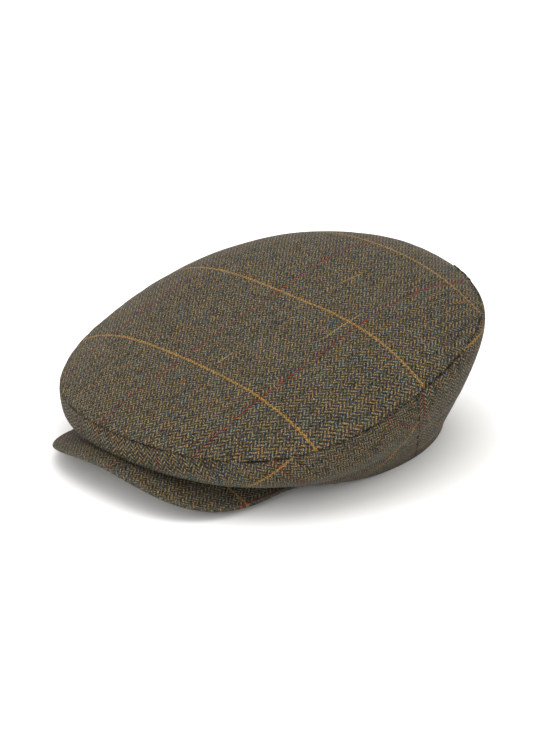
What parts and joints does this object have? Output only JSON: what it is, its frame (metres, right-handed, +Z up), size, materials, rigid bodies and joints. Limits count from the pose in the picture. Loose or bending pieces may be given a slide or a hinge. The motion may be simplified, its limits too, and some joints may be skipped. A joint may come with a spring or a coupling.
{
  "type": "flat cap",
  "caption": "Tweed flat cap with a round flat crown, a side band that overhangs the front, and a short curved peak.",
  "frame": {"origin": "middle of the cap's bounding box, on the surface that it rests on", "axes": "-Y to the peak, +X to the wearer's left, +Z up"},
  "size_m": [0.2202, 0.2392, 0.0919],
  "materials": {
    "tweed": "brown-grey woollen herringbone tweed with a faint overcheck, matt and slightly hairy"
  },
  "bodies": {
    "root": {"crown_top": "tweed", "side_front": "tweed", "side_back": "tweed", "peak_top": "tweed", "peak_under": "tweed"}
  },
  "joints": []
}
